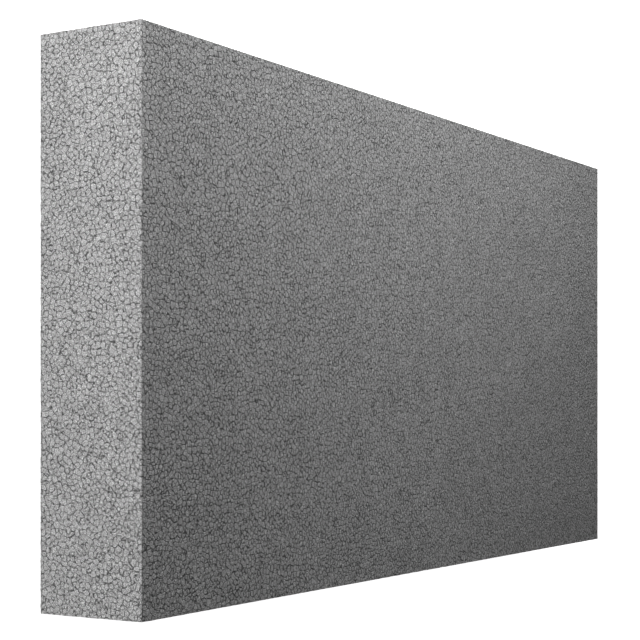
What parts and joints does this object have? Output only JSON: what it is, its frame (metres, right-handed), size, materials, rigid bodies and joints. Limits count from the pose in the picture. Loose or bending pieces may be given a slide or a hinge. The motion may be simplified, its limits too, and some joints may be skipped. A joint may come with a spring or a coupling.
{
  "type": "graphite eps insulation board",
  "caption": "Rectangular square-edged slab of grey graphite expanded-polystyrene foam with a fused-bead surface, for thermal insulation.",
  "frame": {"origin": "centre of the back face that the board lies on", "axes": "+X along the length, +Y across the width, +Z out of the big face, through the thickness"},
  "size_m": [1, 0.5, 0.11],
  "materials": {
    "graphite_foam": "matt, hot-wire-cut fused foam beads"
  },
  "bodies": {
    "root": {"eps_board": "graphite_foam"}
  },
  "joints": []
}
